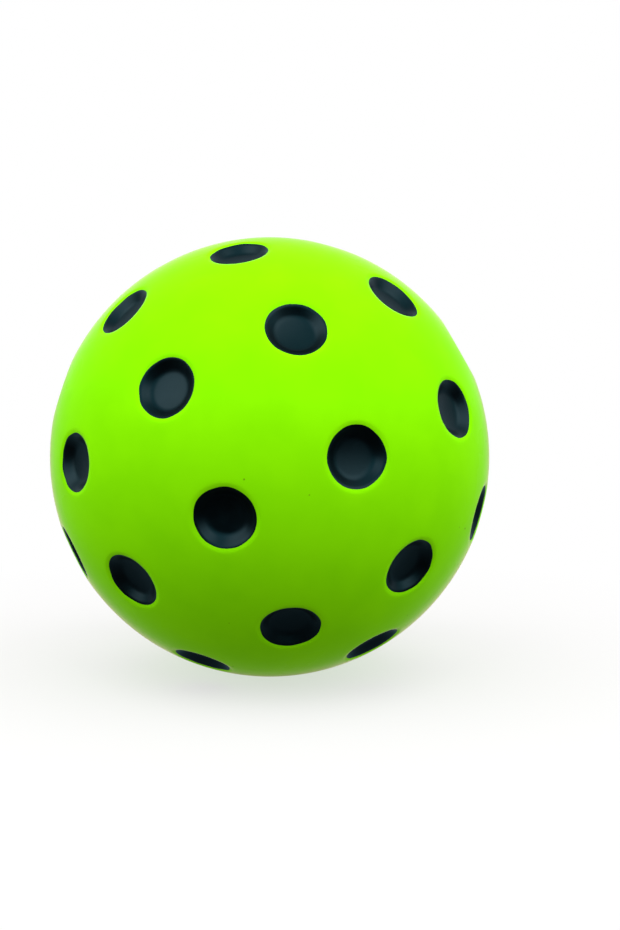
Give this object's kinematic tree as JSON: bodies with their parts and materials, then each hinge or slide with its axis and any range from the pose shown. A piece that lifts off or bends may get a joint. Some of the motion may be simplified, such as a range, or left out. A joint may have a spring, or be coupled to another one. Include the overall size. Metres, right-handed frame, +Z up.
{
  "type": "foam pickleball",
  "caption": "Soft foam practice ball with a smooth lime skin and shallow round black dimples where a hard pickleball has its holes.",
  "frame": {"origin": "the ball's centre", "axes": "+Z up, with -Z out through the middle of the dimple that the ball rests on; -Y is the front half, whose mould axis rises 12 degrees above -Y; +X is to the right of someone who looks at the front"},
  "size_m": [0.074, 0.0739, 0.0734],
  "materials": {
    "lime_skin": "satin",
    "black_coat": "satin",
    "foam": "matte"
  },
  "bodies": {
    "root": {"foam_core": "foam", "front_skin": "lime_skin", "front_dimple_coat_01": "black_coat", "front_dimple_coat_02": "black_coat", "front_dimple_coat_03": "black_coat", "front_dimple_coat_04": "black_coat", "front_dimple_coat_05": "black_coat", "front_dimple_coat_06": "black_coat", "front_dimple_coat_07": "black_coat", "front_dimple_coat_08": "black_coat", "front_dimple_coat_09": "black_coat", "front_dimple_coat_10": "black_coat", "front_dimple_coat_11": "black_coat", "front_dimple_coat_12": "black_coat", "front_dimple_coat_13": "black_coat", "front_dimple_coat_14": "black_coat", "front_dimple_coat_15": "black_coat", "front_dimple_coat_16": "black_coat", "front_dimple_coat_17": "black_coat", "front_dimple_coat_18": "black_coat", "front_dimple_coat_19": "black_coat", "front_dimple_coat_20": "black_coat", "rear_skin": "lime_skin", "rear_dimple_coat_01": "black_coat", "rear_dimple_coat_02": "black_coat", "rear_dimple_coat_03": "black_coat", "rear_dimple_coat_04": "black_coat", "rear_dimple_coat_05": "black_coat", "rear_dimple_coat_06": "black_coat", "rear_dimple_coat_07": "black_coat", "rear_dimple_coat_08": "black_coat", "rear_dimple_coat_09": "black_coat", "rear_dimple_coat_10": "black_coat", "rear_dimple_coat_11": "black_coat", "rear_dimple_coat_12": "black_coat", "rear_dimple_coat_13": "black_coat", "rear_dimple_coat_14": "black_coat", "rear_dimple_coat_15": "black_coat", "rear_dimple_coat_16": "black_coat", "rear_dimple_coat_17": "black_coat", "rear_dimple_coat_18": "black_coat", "rear_dimple_coat_19": "black_coat", "rear_dimple_coat_20": "black_coat"}
  },
  "joints": []
}
